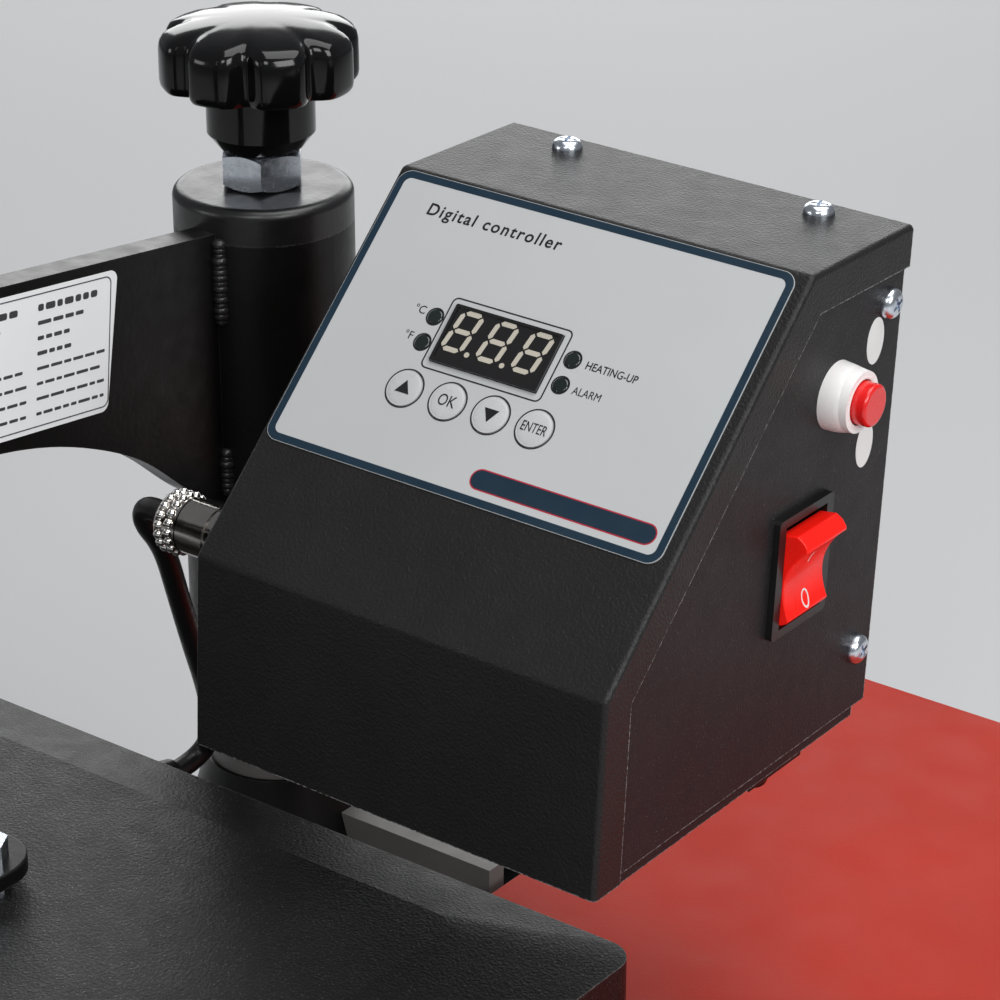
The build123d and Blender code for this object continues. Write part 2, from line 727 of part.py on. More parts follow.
with BuildPart() as key_up:
    with BuildSketch(slope_plane(-0.4)):
        with Locations((KEYS["key_up"], -KEY_V)):
            Circle(KEY_R)
    extrude(amount=1.1)
    with BuildSketch(slope_plane(-6.1)):
        with Locations((KEYS["key_up"], -KEY_V)):
            Circle(1.75)
    extrude(amount=5.7)

with BuildPart() as key_ok:
    with BuildSketch(slope_plane(-0.4)):
        with Locations((KEYS["key_ok"], -KEY_V)):
            Circle(KEY_R)
    extrude(amount=1.1)
    with BuildSketch(slope_plane(-6.1)):
        with Locations((KEYS["key_ok"], -KEY_V)):
            Circle(1.75)
    extrude(amount=5.7)

with BuildPart() as key_down:
    with BuildSketch(slope_plane(-0.4)):
        with Locations((KEYS["key_down"], -KEY_V)):
            Circle(KEY_R)
    extrude(amount=1.1)
    with BuildSketch(slope_plane(-6.1)):
        with Locations((KEYS["key_down"], -KEY_V)):
            Circle(1.75)
    extrude(amount=5.7)

with BuildPart() as key_enter:
    with BuildSketch(slope_plane(-0.4)):
        with Locations((KEYS["key_enter"], -KEY_V)):
            Circle(KEY_R)
    extrude(amount=1.1)
    with BuildSketch(slope_plane(-6.1)):
        with Locations((KEYS["key_enter"], -KEY_V)):
            Circle(1.75)
    extrude(amount=5.7)

# ---- right-hand side: rocker switch, circuit breaker, stickers
with BuildPart() as rocker_bezel:
    with BuildSketch(RIGHT):
        with Locations((SW_Y, SW_Z)):
            RectangleRounded(30.6, 38.3, 1.6)
    extrude(amount=2.2)
    with BuildSketch(RIGHT.offset(-22)):
        with Locations((SW_Y, SW_Z)):
            Rectangle(25.0, 33.8)
    extrude(amount=22)
    with BuildSketch(RIGHT.offset(-10)):
        with Locations((SW_Y, SW_Z)):
            Rectangle(23.2, 32.8)
    extrude(amount=14, mode=Mode.SUBTRACT)
    with BuildSketch(RIGHT.offset(-30)):
        with Locations((SW_Y, SW_Z - 9), (SW_Y, SW_Z), (SW_Y, SW_Z + 9)):
            Rectangle(6.3, 0.8)
    extrude(amount=8)

ROCKER_X = BOX_W - INSET + 0.7      # pivot, just proud of the side panel
RK = radians(11)


def rocked(x, z):
    """Rocker profile point at the 'off' end of its throw."""
    return (ROCKER_X + x * cos(RK) + z * sin(RK), SW_Z - x * sin(RK) + z * cos(RK))


with BuildPart() as rocker:
    with BuildSketch(Plane.XZ.offset(-(SW_Y + 11.3))):
        with BuildLine():
            Polyline(
                rocked(-3.4, -13.2), rocked(2.2, -15.2), rocked(4.6, -14.3), rocked(6.2, -12.9),
                rocked(6.7, -11.8), rocked(4.0, -7.0), rocked(2.6, -3.0), rocked(2.2, 0),
                rocked(2.6, 3.0), rocked(4.0, 7.0), rocked(6.7, 11.8), rocked(6.2, 12.9),
                rocked(4.6, 14.3), rocked(2.2, 15.2), rocked(-3.4, 13.2), close=True,
            )
        make_face()
    extrude(amount=22.6)
    # pivot pins, in the housing's side walls
    with BuildSketch(Plane.XZ.offset(-(SW_Y + 11.55))):
        with Locations((ROCKER_X, SW_Z)):
            Circle(1.2)
    extrude(amount=23.1)

with BuildPart() as breaker_body:
    with BuildSketch(RIGHT.offset(0)):
        with Locations((BRK_Y, BRK_Z)):
            Circle(10.4)
    extrude(amount=8.9, taper=7)
    with BuildSketch(RIGHT.offset(-24)):
        with Locations((BRK_Y, BRK_Z)):
            Circle(6.0)
    extrude(amount=24)
    with BuildSketch(RIGHT.offset(-36)):
        with Locations((BRK_Y, BRK_Z)):
            Rectangle(14, 26)
    extrude(amount=14)
    with BuildSketch(RIGHT.offset(-4)):
        with Locations((BRK_Y, BRK_Z)):
            Circle(4.2)
    extrude(amount=16, mode=Mode.SUBTRACT)
    with BuildSketch(RIGHT.offset(4.6)):
        with Locations((BRK_Y, BRK_Z)):
            Circle(7.0)
    extrude(amount=8, mode=Mode.SUBTRACT)

with BuildPart() as reset_button:
    with BuildSketch(RIGHT.offset(7.9)):
        with Locations((BRK_Y, BRK_Z)):
            Circle(6.5)
    extrude(amount=5.6)
    fillet(reset_button.edges().group_by(Axis.X)[-1], 1.1)
    with BuildSketch(RIGHT.offset(-0.8)):
        with Locations((BRK_Y, BRK_Z)):
            Circle(4.1)
    extrude(amount=8.7)

# ---- left-hand side: heater socket and the cable's plug
with BuildPart() as heater_socket:
    with BuildSketch(LEFT.offset(-14)):
        with Locations((-25, 56)):
            Circle(7.7)
    extrude(amount=14)
    with BuildSketch(LEFT):
        with Locations((-25, 56)):
            RegularPolygon(9.2, 6)
            Circle(7.7, mode=Mode.SUBTRACT)
    extrude(amount=2.5)
    with BuildSketch(LEFT):
        with Locations((-25, 56)):
            Circle(7.7)
    extrude(amount=7)

with BuildPart() as plug_ring:
    # free-turning coupling ring: smooth barrel, groove, two rows of knurl at the far end
    with BuildSketch(LEFT.offset(7.2)):
        with Locations((-25, 56)):
            Circle(8.7)
            Circle(6.6, mode=Mode.SUBTRACT)
    extrude(amount=16.5)
    with BuildSketch(LEFT.offset(12.6)):
        with Locations((-25, 56)):
            Circle(9.5)
            Circle(8.2, mode=Mode.SUBTRACT)
    extrude(amount=0.9, mode=Mode.SUBTRACT)

with BuildPart() as plug_body:
    with BuildSketch(LEFT.offset(7.2)):
        with Locations((-25, 56)):
            Circle(6.5)
    extrude(amount=16.8)
    with BuildSketch(LEFT.offset(24.0)):
        with Locations((-25, 56)):
            Circle(8.9)
    extrude(amount=8.6)
    fillet(plug_body.edges().group_by(Axis.X)[0], 1.6)
    # mouth that the cable comes out of
    with BuildSketch(LEFT.offset(30.8)):
        with Locations((-25, 56)):
            Circle(4.4)
    extrude(amount=3, mode=Mode.SUBTRACT)

# ---- inside: relay; at the back: mains cord gland (the cord is not part)
with BuildPart() as power_relay:
    with BuildSketch(Plane.XY.offset(-2.3)):
        with Locations((40, 68)):
            RectangleRounded(45, 58, 3)
    extrude(amount=23)

with BuildPart() as mains_gland:
    with BuildSketch(Plane(origin=(72, BOX_D - 0.6, 30), x_dir=(-1, 0, 0), z_dir=(0, 1, 0))):
        RegularPolygon(11.0, 6)
    extrude(amount=4)
    with BuildSketch(Plane(origin=(72, BOX_D + 3.4, 30), x_dir=(-1, 0, 0), z_dir=(0, 1, 0))):
        Circle(8.6)
    extrude(amount=9, taper=10)
    with BuildSketch(Plane(origin=(72, BOX_D - 10, 30), x_dir=(-1, 0, 0), z_dir=(0, 1, 0))):
        Circle(6.9)
    extrude(amount=9.4)
    with BuildSketch(Plane(origin=(72, BOX_D - 11, 30), x_dir=(-1, 0, 0), z_dir=(0, 1, 0))):
        Circle(4.0)
    extrude(amount=30, mode=Mode.SUBTRACT)

# ---- bracket from the sleeve to the underside of the box, with its two bolts
with BuildPart() as bracket_blank:
    with BuildSketch(Plane.XY.offset(-9.8)):
        with BuildLine():
            Polyline(
                (136, 96), (136, 126), (24, 126), (-44, 172), (-92, 172),
                (-92, 112), (-50, 100), (10, 96), close=True,
            )
        make_face()
    extrude(amount=6)

with BuildPart() as bracket_bolts:
    for bx, by in ((128, 109), (60, 111)):
        with BuildSketch(Plane.XY.offset(-9.8)):
            with Locations((bx, by)):
                Circle(7.0)
        extrude(amount=-4.2, taper=20)
        with BuildSketch(Plane.XY.offset(-2.3)):
            with Locations((bx, by)):
                RegularPolygon(7.4, 6)
        extrude(amount=4.5)

for piece in (
    front_cover, side_panels, back_panel, bottom_tray, box_screws, panel_overlay,
    display_module, indicator_leds, controller_board, key_up, key_ok,
    key_down, key_enter, rocker_bezel, rocker, breaker_body, reset_button,
    heater_socket, plug_ring, plug_body, power_relay, mains_gland,
    bracket_blank, bracket_bolts,
):
    piece.part.move(BOX_SEAT)

with BuildPart() as box_bracket:
    add(bracket_blank.part)
    with BuildSketch(Plane.XY.offset(150)):
        Circle(SLEEVE_OD / 2)
    extrude(amount=120, mode=Mode.SUBTRACT)

# ================================================================= HEATER CABLE
CABLE_D = 7.2
CABLE_ROUTE = [
    BOX_PLANE.from_local_coords(Vector(-31.1, 25, 56)),
    BOX_PLANE.from_local_coords(Vector(-39.9, 25, 58.2)),
    BOX_PLANE.from_local_coords(Vector(-44.8, 27.5, 50.4)),
    Vector(46, -103.5, 253), Vector(40.5, -92, 229), Vector(36, -81.5, 206),
    Vector(32, -72, 187), Vector(25, -62, 168), Vector(GLAND_X, -56.5, GLAND_Z),
    Vector(GLAND_X, REAR_Y + 13.0, GLAND_Z),
]
cable_radii = []
for a, b, c in zip(CABLE_ROUTE, CABLE_ROUTE[1:], CABLE_ROUTE[2:]):
    turn = (b - a).get_angle(c - b)
    reach = 0.44 * min((b - a).length, (c - b).length)
    if c is CABLE_ROUTE[-1]:
        reach = min(0.8 * (c - b).length, 0.55 * (b - a).length)
    cable_radii.append(reach / tan(radians(turn) / 2))
print("cable radii", [round(r, 1) for r in cable_radii])
print("cable route", [tuple(round(v, 2) for v in tuple(p)) for p in CABLE_ROUTE])

with BuildPart() as heater_cable:
    with BuildLine() as cable_line:
        FilletPolyline(*CABLE_ROUTE, radius=cable_radii)
    with BuildSketch(Plane(origin=CABLE_ROUTE[0], z_dir=CABLE_ROUTE[1] - CABLE_ROUTE[0])):
        Circle(CABLE_D / 2)
    sweep()
cable_len = sum(e.length for e in cable_line.edges())
print("cable length", round(cable_len, 1), "volume ratio",
      round(heater_cable.part.volume / (3.14159265 * CABLE_D ** 2 / 4 * cable_len), 4))

# ================================================================= labels and files
NODES = {
    "base_rails": base_rails, "rail_end_caps": rail_end_caps, "rubber_feet": rubber_feet,
    "base_crossmembers": base_crossmembers, "post_base_plate": post_base_plate,
    "base_bolts": base_bolts, "post": post, "post_collar": post_collar,
    "post_gusset": post_gusset, "platen_pillars": platen_pillars,
    "lower_platen": lower_platen, "silicone_pad": silicone_pad, "sleeve": sleeve,
    "sleeve_cap": sleeve_cap, "thrust_pad": thrust_pad, "pressure_screw": pressure_screw,
    "lock_nut": lock_nut, "pressure_knob": pressure_knob, "swing_arm": swing_arm,
    "rating_label": rating_label, "guide_head": guide_head,
    "plunger": plunger, "lever_crank": lever_crank, "lever_bar": lever_bar,
    "lever_grip": lever_grip, "hanger_plate": hanger_plate, "platen_studs": platen_studs,
    "platen_nuts": platen_nuts, "platen_cover": platen_cover, "cover_screws": cover_screws,
    "heating_platen": heating_platen, "heating_element": heating_element,
    "insulation": insulation, "temperature_probe": temperature_probe,
    "cable_gland": cable_gland, "front_cover": front_cover, "side_panels": side_panels,
    "back_panel": back_panel, "bottom_tray": bottom_tray, "box_screws": box_screws,
    "panel_overlay": panel_overlay, "display_module": display_module,
    "indicator_leds": indicator_leds,
    "controller_board": controller_board, "key_up": key_up, "key_ok": key_ok,
    "key_down": key_down, "key_enter": key_enter, "rocker_bezel": rocker_bezel,
    "rocker": rocker, "breaker_body": breaker_body, "reset_button": reset_button,
    "heater_socket": heater_socket,
    "plug_ring": plug_ring, "plug_body": plug_body, "box_bracket": box_bracket,
    "mains_gland": mains_gland, "power_relay": power_relay,
    "bracket_bolts": bracket_bolts, "heater_cable": heater_cable,
}
lo = [min(getattr(b.part.bounding_box().min, k) for b in NODES.values()) for k in "XYZ"]
hi = [max(getattr(b.part.bounding_box().max, k) for b in NODES.values()) for k in "XYZ"]
print("bounds", [round(v, 3) for v in lo], [round(v, 3) for v in hi],
      "centre", [round((a + b) / 2, 3) for a, b in zip(lo, hi)])
for name, builder in NODES.items():
    builder.part.move(Location(ROW_SHIFT))
    builder.part.label = name
    export_step(builder.part, f"parts/{name}.step")
print(len(NODES), "nodes")
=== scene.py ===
import bpy, bmesh, math, random
from mathutils import Matrix, Vector
from mathutils.geometry import tessellate_polygon


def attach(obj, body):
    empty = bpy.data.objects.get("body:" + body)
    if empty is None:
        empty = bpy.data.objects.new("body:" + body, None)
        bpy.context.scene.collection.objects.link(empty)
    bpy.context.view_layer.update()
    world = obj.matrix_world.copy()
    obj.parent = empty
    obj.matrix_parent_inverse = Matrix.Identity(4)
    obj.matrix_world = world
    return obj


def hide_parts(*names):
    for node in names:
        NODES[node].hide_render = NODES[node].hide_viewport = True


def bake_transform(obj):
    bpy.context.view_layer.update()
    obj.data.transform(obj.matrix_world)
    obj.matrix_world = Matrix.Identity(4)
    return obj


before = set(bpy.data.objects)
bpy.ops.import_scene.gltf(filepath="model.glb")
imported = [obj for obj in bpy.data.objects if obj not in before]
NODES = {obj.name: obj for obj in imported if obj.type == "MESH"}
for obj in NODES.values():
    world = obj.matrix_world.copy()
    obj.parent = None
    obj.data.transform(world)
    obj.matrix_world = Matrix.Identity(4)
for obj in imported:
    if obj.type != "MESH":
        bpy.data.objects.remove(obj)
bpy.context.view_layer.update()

# ------------------------------------------------------------------ frames
SHIFT = Vector((-92.8, 111.0, 0.0))


def W(x, y, z):
    """millimetres from the post's axis to metres in the row frame"""
    return (Vector((x, y, z)) + SHIFT) / 1000


yaw, droop, lean = (math.radians(a) for a in (1.7, 1.85, -1.3))
BX = Vector((math.cos(yaw) * math.cos(droop), math.sin(yaw) * math.cos(droop), -math.sin(droop)))
BZ = Vector((
    math.cos(yaw) * math.cos(lean) * math.sin(droop) + math.sin(yaw) * math.sin(lean),
    math.sin(yaw) * math.cos(lean) * math.sin(droop) - math.cos(yaw) * math.sin(lean),
    math.cos(lean) * math.cos(droop)))
BY = BZ.cross(BX)
BO = W(92.4, -142.6, 215.7)


def B(x, y, z):
    """control box millimetres to row metres"""
    return BO + (BX * x + BY * y + BZ * z) / 1000


class Plane3:
    """A drawing plane: millimetres in the plane and out of it, to row metres."""

    def __init__(self, o, ex, ey):
        self.o, self.ex, self.ey = Vector(o), Vector(ex).normalized(), Vector(ey).normalized()
        self.ez = self.ex.cross(self.ey).normalized()

    def at(self, x, y, z=0.0):
        return self.o + (self.ex * x + self.ey * y + self.ez * z) / 1000

    def matrix(self, x, y, z=0.0):
        m = Matrix((self.ex, self.ey, self.ez)).transposed().to_4x4()
        m.translation = self.at(x, y, z)
        return m


H = math.sqrt(0.5)
PANEL = Plane3(B(0, 95.3, 157.5), BX, BY * H + BZ * H)
RIGHT = Plane3(B(142.4, 0, 0), BY, BZ)
LEFT = Plane3(B(1.6, 0, 0), -BY, BZ)
LABEL = Plane3(W(5.25, 0, 0), Vector((0, 0.9943, -0.1066)), Vector((0, 0.1066, 0.9943)))

# ------------------------------------------------------------------ camera
scene = bpy.context.scene
cam_data = bpy.data.cameras.new("camera")
cam = bpy.data.objects.new("camera", cam_data)
scene.collection.objects.link(cam)
az, el = math.radians(37.2), math.radians(24.4)
look = Vector((-math.sin(az) * math.cos(el), math.cos(az) * math.cos(el), -math.sin(el)))
right = Vector((math.cos(az), math.sin(az), 0))
up = right.cross(look)
m = Matrix((right, up, -look)).transposed().to_4x4()
m.translation = W(681.55, -768.15, 682.96)
cam.matrix_world = m
cam_data.sensor_fit = "HORIZONTAL"
cam_data.sensor_width = 36.0
cam_data.lens = 117.07
cam_data.clip_start, cam_data.clip_end = 0.05, 40
scene.camera = cam


# ------------------------------------------------------------------ materials
def material(name, color, rough, metal=0.0, vary=0.12, vary_scale=40.0, grain=0.0, grain_scale=900.0,
             rough_vary=0.06, coat=0.0, coat_rough=0.1, spec=0.5, edge=0.0, transmission=0.0,
             brushed=0.0, specks=0.0, speck_color=(0.5, 0.5, 0.5), sheen=0.0, weave=0.0, emission=None,
             sss=0.0, lumps=0.0, ior=None, edge_highlight_width=0.0007):
    mat = bpy.data.materials.new(name)
    mat.use_nodes = True
    nt = mat.node_tree
    bsdf = nt.nodes["Principled BSDF"]
    L = nt.links.new
    tc = nt.nodes.new("ShaderNodeTexCoord")

    def noise(scale, detail=3.0, stretch=None):
        n = nt.nodes.new("ShaderNodeTexNoise")
        n.inputs["Scale"].default_value = scale
        n.inputs["Detail"].default_value = detail
        if stretch:
            mp = nt.nodes.new("ShaderNodeMapping")
            mp.inputs["Scale"].default_value = stretch
            L(tc.outputs["Object"], mp.inputs["Vector"])
            L(mp.outputs["Vector"], n.inputs["Vector"])
        else:
            L(tc.outputs["Object"], n.inputs["Vector"])
        return n.outputs["Fac"]

    def ramp(fac, a, b, ca, cb):
        r = nt.nodes.new("ShaderNodeValToRGB")
        r.color_ramp.elements[0].position, r.color_ramp.elements[1].position = a, b
        r.color_ramp.elements[0].color = (*ca, 1)
        r.color_ramp.elements[1].color = (*cb, 1)
        L(fac, r.inputs["Fac"])
        return r.outputs["Color"]

    lo = tuple(c * (1 - vary) for c in color)
    hi = tuple(min(1.0, c * (1 + vary)) for c in color)
    stretch = (1.0, 12.0, 12.0) if brushed else None
    col = ramp(noise(vary_scale, 4.0, stretch), 0.3, 0.7, lo, hi)
    if specks:
        sp = ramp(noise(2300.0, 1.0), 0.70 - specks * 0.12, 0.74 - specks * 0.1, (0, 0, 0), (1, 1, 1))
        mix = nt.nodes.new("ShaderNodeMix")
        mix.data_type = "RGBA"
        L(sp, mix.inputs["Factor"])
        L(col, mix.inputs["A"])
        mix.inputs["B"].default_value = (*speck_color, 1)
        col = mix.outputs["Result"]
    # painted edge highlight: where the bevel normal parts from the true normal, the base colour is lightened by edge
    # and broken by noise speckle, standing in for light caught on rounded edges
    if edge:
        geo = nt.nodes.new("ShaderNodeNewGeometry")
        bev = nt.nodes.new("ShaderNodeBevel")
        bev.samples = 4
        bev.inputs["Radius"].default_value = edge_highlight_width
        dot = nt.nodes.new("ShaderNodeVectorMath")
        dot.operation = "DOT_PRODUCT"
        L(geo.outputs["Normal"], dot.inputs[0])
        L(bev.outputs["Normal"], dot.inputs[1])
        e = ramp(dot.outputs["Value"], 0.88, 0.985, (1, 1, 1), (0, 0, 0))
        k = ramp(noise(900.0, 2.0), 0.40, 0.60, (0.1, 0.1, 0.1), (1, 1, 1))
        mul = nt.nodes.new("ShaderNodeMix")
        mul.data_type, mul.blend_type = "RGBA", "MULTIPLY"
        mul.inputs["Factor"].default_value = 1.0
        L(e, mul.inputs["A"])
        L(k, mul.inputs["B"])
        mix = nt.nodes.new("ShaderNodeMix")
        mix.data_type = "RGBA"
        L(mul.outputs["Result"], mix.inputs["Factor"])
        L(col, mix.inputs["A"])
        mix.inputs["B"].default_value = (*(min(1.0, c + edge) for c in color), 1)
        col = mix.outputs["Result"]
    L(col, bsdf.inputs["Base Color"])
    mr = nt.nodes.new("ShaderNodeMapRange")
    mr.inputs["From Min"].default_value, mr.inputs["From Max"].default_value = 0.3, 0.7
    mr.inputs["To Min"].default_value = max(0.02, rough - rough_vary)
    mr.inputs["To Max"].default_value = min(1.0, rough + rough_vary)
    L(noise(vary_scale * 3.1, 3.0, stretch), mr.inputs["Value"])
    L(mr.outputs["Result"], bsdf.inputs["Roughness"])
    normal = None

    def bump(height, dist, strength):
        nonlocal normal
        b = nt.nodes.new("ShaderNodeBump")
        b.inputs["Distance"].default_value = dist
        b.inputs["Strength"].default_value = strength
        L(height, b.inputs["Height"])
        if normal is not None:
            L(normal, b.inputs["Normal"])
        normal = b.outputs["Normal"]

    if lumps:
        bump(noise(60.0, 2.0), 0.0006, lumps)
    if grain:
        bump(noise(grain_scale, 2.0), 0.0003, grain)
    if brushed:
        bump(noise(400.0, 2.0, (1.0, 30.0, 30.0)), 0.0001, brushed)
    if weave:
        w1 = nt.nodes.new("ShaderNodeTexWave")
        w1.inputs["Scale"].default_value = 260.0
        w1.inputs["Distortion"].default_value = 1.0
        L(tc.outputs["Object"], w1.inputs["Vector"])
        bump(w1.outputs["Fac"], 0.0002, weave)
    if normal is not None:
        L(normal, bsdf.inputs["Normal"])
    bsdf.inputs["Metallic"].default_value = metal
    bsdf.inputs["Specular IOR Level"].default_value = spec
    bsdf.inputs["Coat Weight"].default_value = coat
    bsdf.inputs["Coat Roughness"].default_value = coat_rough
    bsdf.inputs["Transmission Weight"].default_value = transmission
    bsdf.inputs["Sheen Weight"].default_value = sheen
    if ior:
        bsdf.inputs["IOR"].default_value = ior
    if sss:
        bsdf.inputs["Subsurface Weight"].default_value = sss
        bsdf.inputs["Subsurface Radius"].default_value = (0.004, 0.0008, 0.0005)
    if emission:
        bsdf.inputs["Emission Color"].default_value = (*emission[0], 1)
        bsdf.inputs["Emission Strength"].default_value = emission[1]
    return mat


M = {
    # edge=0.38 on the box and side panels sets a strong painted edge highlight along rounded edges and the seam flange
    "box": material("mat_box_powder", (0.0125, 0.012, 0.012), 0.42, vary=0.10, grain=0.95, grain_scale=1150,
                    edge=0.38, spec=0.27, rough_vary=0.03),
    "side": material("mat_side_powder", (0.012, 0.0112, 0.0122), 0.48, vary=0.10, grain=0.42, grain_scale=1500,
                     edge=0.38, spec=0.26, rough_vary=0.03, specks=0.02, speck_color=(0.10, 0.10, 0.10)),
    "cover": material("mat_cover_powder", (0.0075, 0.0075, 0.0075), 0.45, vary=0.12, grain=0.75, grain_scale=950,
                      edge=0.16, spec=0.26, rough_vary=0.04, specks=0.03, speck_color=(0.16, 0.15, 0.14)),
    "paint": material("mat_paint_black", (0.0045, 0.0045, 0.0043), 0.36, vary=0.15, grain=0.2, grain_scale=520,
                      lumps=0.05, edge=0.05, spec=0.28, rough_vary=0.05),
    "paint_cap": material("mat_paint_cap", (0.0075, 0.0075, 0.008), 0.34, vary=0.15, grain=0.2, grain_scale=520,
                          edge=0.05, spec=0.62, rough_vary=0.05),
    "paint_grey": material("mat_paint_grey", (0.18, 0.173, 0.165), 0.55, vary=0.08, grain=0.15, grain_scale=600,
                           edge=0.05, spec=0.4),
    "zinc": material("mat_zinc", (0.72, 0.77, 0.84), 0.24, metal=1.0, vary=0.06, vary_scale=160, grain=0.04,
                     grain_scale=2600, rough_vary=0.05),
    "steel": material("mat_ground_steel", (0.55, 0.55, 0.56), 0.24, metal=1.0, vary=0.1, brushed=0.25,
                      rough_vary=0.07),
    "chrome": material("mat_chrome", (0.78, 0.76, 0.73), 0.1, metal=1.0, vary=0.06, vary_scale=90, grain=0.03,
                       grain_scale=900, rough_vary=0.04),
    "nickel": material("mat_nickel_dark", (0.50, 0.47, 0.44), 0.14, metal=1.0, vary=0.1, vary_scale=120,
                       grain=0.05, grain_scale=900, rough_vary=0.05),
    "alu": material("mat_platen_alu", (0.40, 0.40, 0.41), 0.38, metal=1.0, vary=0.08, grain=0.15,
                    grain_scale=700, rough_vary=0.06),
    "pad": material("mat_red_silicone", (0.40, 0.020, 0.007), 0.62, vary=0.05, vary_scale=16, grain=0.2,
                    grain_scale=1300, spec=0.22, rough_vary=0.05, edge=0.03),
    "knob": material("mat_knob_gloss", (0.0035, 0.0035, 0.0038), 0.13, vary=0.15, grain=0.02, grain_scale=300,
                     coat=0.1, coat_rough=0.05, spec=0.3, rough_vary=0.04),
    "soft": material("mat_rubber", (0.014, 0.014, 0.014), 0.72, vary=0.2, grain=0.35, grain_scale=900,
                     spec=0.3, rough_vary=0.08),
    "cable": material("mat_cable_jacket", (0.008, 0.0078, 0.0078), 0.42, vary=0.2, vary_scale=120, grain=0.2,
                      grain_scale=1200, spec=0.45, rough_vary=0.08),
    "overlay": material("mat_overlay_silver", (0.465, 0.475, 0.48), 0.36, metal=0.0, vary=0.03,
                        vary_scale=14, grain=0.03, grain_scale=3000, rough_vary=0.03, coat=0.25,
                        coat_rough=0.25),
    "navy": material("mat_print_navy", (0.006, 0.022, 0.040), 0.36, vary=0.08, coat=0.06, coat_rough=0.25),
    "ink": material("mat_print_black", (0.008, 0.008, 0.009), 0.42, vary=0.08),
    "red_ink": material("mat_print_red", (0.38, 0.015, 0.03), 0.4, vary=0.08),
    "key": material("mat_key_silver", (0.52, 0.53, 0.535), 0.30, metal=0.1, vary=0.04, vary_scale=60,
                    grain=0.04, grain_scale=2500, coat=0.35, coat_rough=0.18),
    "label": material("mat_label_film", (0.86, 0.87, 0.88), 0.4, vary=0.03, vary_scale=20, coat=0.2,
                      coat_rough=0.2),
    "label_ink": material("mat_label_ink", (0.05, 0.05, 0.055), 0.45, vary=0.1),
    "window": material("mat_display_black", (0.008, 0.0075, 0.008), 0.12, vary=0.1, coat=0.5, coat_rough=0.04,
                       rough_vary=0.03),
    "segment": material("mat_display_segment", (0.45, 0.42, 0.35), 0.4, vary=0.06, coat=0.4, coat_rough=0.05),
    "led": material("mat_led_dark", (0.006, 0.012, 0.010), 0.14, vary=0.2, coat=0.6, coat_rough=0.05,
                    rough_vary=0.03),
    "board": material("mat_circuit_board", (0.012, 0.11, 0.04), 0.4, vary=0.2, vary_scale=300, grain=0.1,
                      coat=0.3),
    "gloss_black": material("mat_switch_black", (0.008, 0.008, 0.008), 0.34, vary=0.15, grain=0.05,
                            grain_scale=1500, spec=0.5),
    # the red rocker carries a weak emission: painted glow that brightens the switch, which is no lamp
    "rocker": material("mat_rocker_red_painted_glow", (0.86, 0.010, 0.005), 0.30, spec=0.25, vary=0.08, vary_scale=120,
                       coat=0.15, coat_rough=0.12, rough_vary=0.04,
                       emission=((0.6, 0.01, 0.006), 0.22)),
    "white": material("mat_white_plastic", (0.86, 0.84, 0.83), 0.28, vary=0.03, grain=0.03,
                      grain_scale=800, coat=0.2, coat_rough=0.2, sss=0.05),
    "paper": material("mat_sticker_white", (0.74, 0.75, 0.74), 0.5, vary=0.03, grain=0.05),
    "green": material("mat_sticker_green", (0.02, 0.30, 0.08), 0.45, vary=0.06),
    "button": material("mat_button_red", (0.72, 0.010, 0.010), 0.25, vary=0.06, coat=0.4, coat_rough=0.1,
                       sss=0.1, grain=0.03, grain_scale=700),
    "relay": material("mat_relay_body", (0.60, 0.58, 0.54), 0.4, vary=0.05, grain=0.08, grain_scale=900),
    "wool": material("mat_wool", (0.62, 0.60, 0.52), 0.95, vary=0.15, grain=0.9, grain_scale=500, sheen=0.3,
                     weave=0.2),
    "weld": material("mat_weld_paint", (0.016, 0.0155, 0.015), 0.34, vary=0.25, lumps=0.5, grain=0.3,
                     grain_scale=380, spec=0.6),
}
LOOK = {
    "front_cover": "box", "side_panels": "side", "back_panel": "side", "bottom_tray": "side",
    "platen_cover": "cover", "sleeve_cap": "paint_cap", "hanger_plate": "paint", "post_gusset": "paint_grey",
    "silicone_pad": "pad", "lower_platen": "alu", "heating_platen": "alu", "platen_pillars": "zinc",
    "base_bolts": "zinc", "platen_studs": "zinc", "platen_nuts": "zinc", "cover_screws": "zinc",
    "box_screws": "zinc", "bracket_bolts": "paint", "lock_nut": "zinc", "temperature_probe": "zinc",
    "post": "paint_grey", "thrust_pad": "steel", "pressure_screw": "steel", "plunger": "steel",
    "heating_element": "steel", "lever_bar": "chrome", "heater_socket": "chrome", "plug_ring": "nickel",
    "plug_body": "nickel", "pressure_knob": "knob", "rail_end_caps": "soft", "rubber_feet": "soft",
    "lever_grip": "soft", "heater_cable": "cable", "panel_overlay": "overlay", "display_module": "window",
    "indicator_leds": "led", "controller_board": "board", "key_up": "key", "key_ok": "key",
    "key_down": "key", "key_enter": "key", "rocker_bezel": "gloss_black", "rocker": "rocker",
    "breaker_body": "white", "reset_button": "button", "mains_gland": "gloss_black",
    "cable_gland": "gloss_black", "power_relay": "relay", "insulation": "wool", "rating_label": "label",
}
for name, obj in NODES.items():
    look_mat = M[LOOK.get(name, "paint")]
    if not obj.material_slots:
        obj.data.materials.append(look_mat)
    for s in obj.material_slots:
        s.material = look_mat


